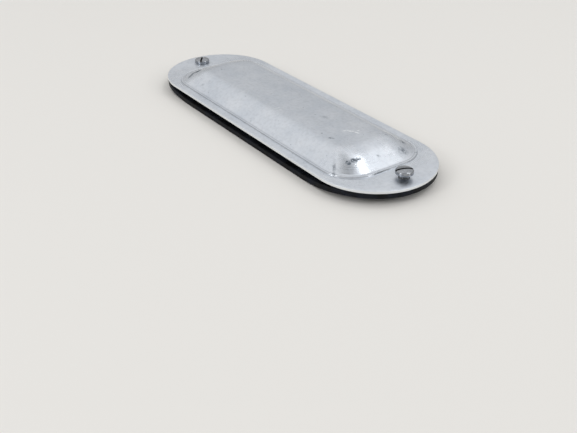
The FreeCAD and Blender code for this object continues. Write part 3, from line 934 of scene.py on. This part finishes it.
# %% Handling
def with_handling(tree, place, colour):
    """The colour with galled specks, pits and pale scuffs laid over it, and how galled each point is.

    The specks are the marks' masks times a patchy noise, so that each mark breaks up at its edge.
    """
    speck = add(tree, "ShaderNodeTexNoise", None, Vector=place, Scale=cells(SPECK), Detail=5.0,
                Distortion=1.2)
    speckle = add(tree, "ShaderNodeValToRGB", None, ((0.38, 0.2), (0.54, 1.0)), Fac=speck.outputs["Fac"])
    dark = add(tree, "ShaderNodeMath", {"operation": "MULTIPLY"}, i0=marks_mask(tree, place, DARK_MARKS),
               i1=speckle.outputs["Color"]).outputs[0]
    galled = add(tree, "ShaderNodeMapRange", None, Value=dark, From_Min=0.05, From_Max=0.40)
    pit = add(tree, "ShaderNodeTexNoise", None, Vector=place, Scale=cells(PIT), Detail=3.0)
    pitted = add(tree, "ShaderNodeValToRGB", None, ((0.69, 0.0), (0.75, 0.6)), Fac=pit.outputs["Fac"])
    pale = add(tree, "ShaderNodeMath", {"operation": "MULTIPLY"}, i0=marks_mask(tree, place, PALE_MARKS),
               i1=speckle.outputs["Color"]).outputs[0]
    scuffed = add(tree, "ShaderNodeMapRange", None, Value=pale, From_Min=0.05, From_Max=0.3)
    for amount, mark in ((galled.outputs["Result"], "#656d76"), (pitted.outputs["Color"], "#7c838b"),
                         (scuffed.outputs["Result"], "#f6f8fa")):
        colour = add(tree, "ShaderNodeMix", {"data_type": "RGBA"}, i0=amount, i6=colour,
                     i7=hex_linear(mark)).outputs[2]
    return colour, galled.outputs["Result"]


# %% Gloss and relief
def rubbed_streaks(tree, place, away):
    """Streaks that follow the bead: noise at a place that is mostly the distance from its outline."""
    ringed = add(tree, "ShaderNodeCombineXYZ", None, Z=away)
    mixed = add(tree, "ShaderNodeMix", {"data_type": "VECTOR"}, i0=0.93, i4=place,
                i5=ringed.outputs["Vector"]).outputs[1]
    grid = add(tree, "ShaderNodeMapping", None, Vector=mixed, Scale=tuple(cells(v) for v in STREAK))
    return add(tree, "ShaderNodeTexNoise", None, Vector=grid.outputs["Vector"], Scale=1.0,
               Detail=2.0).outputs["Fac"]


def sheet_roughness(tree, place, streaks, galled):
    """Satin that varies with the streaks, smoother by a third where wiped, rougher where galled."""
    satin = add(tree, "ShaderNodeValToRGB", None, ((0.3, 0.34), (0.7, 0.46)), Fac=streaks)
    wiped = add(tree, "ShaderNodeMapRange", None, Value=marks_mask(tree, place, WIPED_PLACES),
                From_Min=0.1, From_Max=0.4, To_Min=1.0, To_Max=0.7)
    smoothed = add(tree, "ShaderNodeMath", {"operation": "MULTIPLY"}, i0=satin.outputs["Color"],
                   i1=wiped.outputs["Result"]).outputs[0]
    return add(tree, "ShaderNodeMath", {"operation": "MULTIPLY_ADD"}, i0=galled, i1=0.3,
               i2=smoothed).outputs[0]


def sheet_relief(tree, place, streaks):
    """Orange peel less two crossing sets of scratches, then the streaks, each 0.02 mm high at most."""
    sets = [scratches(tree, place, 28, 0.55, 16.0, 0.66), scratches(tree, place, -52, 0.5, 11.0, 0.67)]
    scratch = add(tree, "ShaderNodeMath", {"operation": "MAXIMUM"}, i0=sets[0], i1=sets[1]).outputs[0]
    peel = add(tree, "ShaderNodeTexNoise", None, Vector=place, Scale=cells(PEEL), Detail=2.0)
    relief = add(tree, "ShaderNodeMath", {"operation": "MULTIPLY_ADD"}, i0=scratch, i1=-0.5,
                 i2=peel.outputs["Fac"]).outputs[0]
    bump = add(tree, "ShaderNodeBump", None, Height=relief, Strength=0.5, Distance=0.02 * MM)
    lined = add(tree, "ShaderNodeBump", None, Height=streaks, Strength=0.35, Distance=0.02 * MM,
                Normal=bump.outputs["Normal"])
    return lined.outputs["Normal"]


# %% Aluminium
def mill_aluminium():
    """Rolled and pressed aluminium sheet: pale, satin, dirt and painted shade by the bead, painted shade on
    its top, fine scratches and handling.
    """
    material, tree, surface = new_material("mill_finish_aluminium_sheet", Metallic=1.0)
    coords = add(tree, "ShaderNodeTexCoord")
    place = coords.outputs["Object"]
    away = add(tree, "ShaderNodeAttribute", {"attribute_name": "from_bead"}).outputs["Fac"]
    colour = with_sheared_edge(tree, coords.outputs["Normal"], away, sheet_colour(tree, place, away))
    colour, galled = with_handling(tree, place, colour)
    streaks = rubbed_streaks(tree, place, away)
    tree.links.new(colour, surface.inputs["Base Color"])
    tree.links.new(sheet_roughness(tree, place, streaks, galled), surface.inputs["Roughness"])
    tree.links.new(sheet_relief(tree, place, streaks), surface.inputs["Normal"])
    return material


dress(cover_sheet, mill_aluminium())
print("cover dressed as", cover_sheet.data.materials[0].name)


# %% [markdown]
# ## Neoprene
# The gasket is die-cut black neoprene sheet. Its skin is near black and dull, with cloudy patches that
# are lighter, bluish and rougher: partly a thin film of talc and dust, partly painted sheen. A fine
# cloth-like grain is pressed into the sheet as it cures.

# %% Rubber
def black_neoprene():
    """Cured black neoprene: dull and near black, with cloudy patches of talc and painted sheen, and a fine
    grain.
    """
    material, tree, surface = new_material("black_neoprene_rubber", Specular_IOR_Level=0.15)
    place = add(tree, "ShaderNodeTexCoord").outputs["Object"]
    # Cloudy patches, lighter and bluish where rougher: partly talc and dust, partly painted sheen.
    talc_and_sheen = add(tree, "ShaderNodeTexNoise", None, Vector=place, Scale=cells(TALC_AND_SHEEN), Detail=4.0)
    colour = add(tree, "ShaderNodeValToRGB", None, ((0.42, "#07080a"), (0.66, "#191d26")),
                 Fac=talc_and_sheen.outputs["Fac"])
    tree.links.new(colour.outputs["Color"], surface.inputs["Base Color"])
    rough = add(tree, "ShaderNodeValToRGB", None, ((0.40, 0.48), (0.66, 0.66)), Fac=talc_and_sheen.outputs["Fac"])
    tree.links.new(rough.outputs["Color"], surface.inputs["Roughness"])
    grain = add(tree, "ShaderNodeTexNoise", None, Vector=place, Scale=cells(RUBBER_GRAIN), Detail=2.0)
    bump = add(tree, "ShaderNodeBump", None, Height=grain.outputs["Fac"], Strength=0.4, Distance=0.06 * MM)
    tree.links.new(bump.outputs["Normal"], surface.inputs["Normal"])
    return material


dress(gasket_rubber, black_neoprene())
print("gasket dressed as", gasket_rubber.data.materials[0].name)


# %% [markdown]
# ## Plated steel
# The screws are zinc-plated steel: a hard, neutral, fairly sharp gloss. The slot and the thread's
# roots are painted near black as painted shade, and the crests get a trace. The painted black is no
# metal, so the same amount that darkens the colour takes the metal away and dulls the gloss.

# %% Steel
def plated_steel():
    """Bright zinc plate on steel, with faint tumbling marks, and black painted shade in slot and thread."""
    material, tree, surface = new_material("bright_zinc_plated_steel")
    place = add(tree, "ShaderNodeTexCoord").outputs["Object"]
    painted_shade = add(tree, "ShaderNodeAttribute", {"attribute_name": "painted_shade"}).outputs["Fac"]
    mark = add(tree, "ShaderNodeTexNoise", None, Vector=place, Scale=cells(TUMBLING), Detail=3.0)
    clean = add(tree, "ShaderNodeValToRGB", None, ((0.3, "#8a8d92"), (0.7, "#a4a7ac")),
                Fac=mark.outputs["Fac"])
    # Painted shade: where marked, the colour goes to near black.
    colour = add(tree, "ShaderNodeMix", {"data_type": "RGBA"}, i0=painted_shade, i6=clean.outputs["Color"],
                 i7=hex_linear("#0e0f10"))
    tree.links.new(colour.outputs[2], surface.inputs["Base Color"])
    metal = add(tree, "ShaderNodeMath", {"operation": "SUBTRACT"}, i0=1.0, i1=painted_shade)
    tree.links.new(metal.outputs[0], surface.inputs["Metallic"])
    gloss = add(tree, "ShaderNodeValToRGB", None, ((0.3, 0.09), (0.7, 0.15)), Fac=mark.outputs["Fac"])
    rough = add(tree, "ShaderNodeMath", {"operation": "MULTIPLY_ADD"}, i0=painted_shade, i1=0.45,
                i2=gloss.outputs["Color"])
    tree.links.new(rough.outputs[0], surface.inputs["Roughness"])
    return material


steel = plated_steel()
for screw_piece in screw_pieces:
    dress(screw_piece, steel)
print("screws dressed as", steel.name)


# %% [markdown]
# ## Studio
# Bare metal shows whatever is round it, so the surroundings matter more than the lamps. A dome of
# light is dim at the horizon and bright high up, which separates level faces from sloping ones. Its
# dark round gap straight overhead is what the near corner of the cover mirrors as a grey wedge. Two
# low lamps, left and right of the camera, put a pair of highlights on each screw. One stands at the
# side, and a broad one and a small one high behind light the near end wall.

# %% Floor
# Half the floor's width, in metres.
FLOOR_REACH = 6


def make_floor():
    """A wide pale floor, one quad, at the height that the gasket lies on."""
    mesh = bpy.data.meshes.new("studio_floor")
    corners = [(x * FLOOR_REACH, y * FLOOR_REACH, 0) for x, y in ((-1, -1), (1, -1), (1, 1), (-1, 1))]
    mesh.from_pydata(corners, [], [(0, 1, 2, 3)])
    floor = put("studio_floor", mesh)
    material, _, surface = new_material("matte_pale_floor", Roughness=0.9)
    surface.inputs["Base Color"].default_value = hex_linear("#e6e4e0")
    mesh.materials.append(material)


make_floor()

# %% Lamps
# Each lamp stands in its own direction from the cover, at one distance. Widths are in metres too.
LAMP_DISTANCE = 1.2
LAMPS = dict(side_softbox=dict(toward=(-0.68, -0.46, 0.58), width=0.45, watts=0.35),
             back_softbox=dict(toward=(0.24, 0.46, 0.85), width=0.46, watts=0.42),
             top_softbox=dict(toward=(0.00, 0.43, 0.90), width=0.14, watts=0.56),
             front_left_softbox=dict(toward=(0.03, -0.84, 0.46), width=0.26, watts=1.6),
             front_right_softbox=dict(toward=(0.88, 0.38, 0.46), width=0.26, watts=1.0))


def make_lamp(name, toward, width, watts):
    """One square soft lamp at the shared distance, aimed back at the cover."""
    data = bpy.data.lights.new(name, "AREA")
    data.shape = "SQUARE"
    data.size = width
    data.energy = watts
    lamp = put(name, data)
    lamp.location = Vector(toward).normalized() * LAMP_DISTANCE
    lamp.rotation_mode = "QUATERNION"
    lamp.rotation_quaternion = (-lamp.location).to_track_quat("-Z", "Y")


for lamp_name, lamp in LAMPS.items():
    make_lamp(lamp_name, **lamp)
print("lamps:", ", ".join(LAMPS))

# %% Surroundings
# How bright the dome of light is, by how steeply one looks up: 0 is the horizon and 1 is overhead.
DOME_LIGHT = ((0.0, 0.55), (0.35, 0.62), (0.47, 0.77), (0.58, 0.89), (0.70, 0.93), (0.86, 1.0),
              (0.95, 1.0), (0.983, 0.18), (1.0, 0.12))


def make_world():
    """A dome of light: dim at the horizon, bright high up, and a dark round gap straight overhead."""
    world = bpy.data.worlds.new("studio_dome")
    world.use_nodes = True
    tree = world.node_tree
    sight = add(tree, "ShaderNodeTexCoord").outputs["Generated"]
    up = add(tree, "ShaderNodeSeparateXYZ", None, Vector=sight).outputs["Z"]
    level = add(tree, "ShaderNodeValToRGB", None, DOME_LIGHT, Fac=up)
    tree.links.new(level.outputs["Color"], tree.nodes["Background"].inputs["Color"])
    tree.nodes["Background"].inputs["Strength"].default_value = 1.0
    bpy.context.scene.world = world


make_world()


# %% [markdown]
# ## Camera
# The cover is seen from a little above its raised-screw end, through a short telephoto. The camera is
# placed by its position and by the directions that it looks along and holds as its right, because
# those three are what a survey of the view gives.

# %% Camera
# Place in metres; the two directions are of length one; lens and sensor in millimetres.
CAMERA_PLACE = Vector((0.39247, -0.28265, 0.22455))
CAMERA_RIGHT = Vector((0.58406, 0.81171, 0.0007))
CAMERA_FORWARD = Vector((-0.69239, 0.49865, -0.52149))
LENS = 50.62
SENSOR_WIDTH = 36.0


def make_camera():
    """A short telephoto, looking down along the cover from its raised-screw end."""
    data = bpy.data.cameras.new("camera")
    data.sensor_width = SENSOR_WIDTH
    data.lens = LENS
    data.clip_start = 0.01
    data.clip_end = 50.0
    camera = put("camera", data)
    up = CAMERA_RIGHT.cross(CAMERA_FORWARD)
    turn = Matrix((CAMERA_RIGHT, up, -CAMERA_FORWARD)).transposed()
    camera.matrix_world = Matrix.Translation(CAMERA_PLACE) @ turn.to_4x4()
    bpy.context.scene.camera = camera


make_camera()
bpy.context.scene.view_settings.view_transform = "Standard"
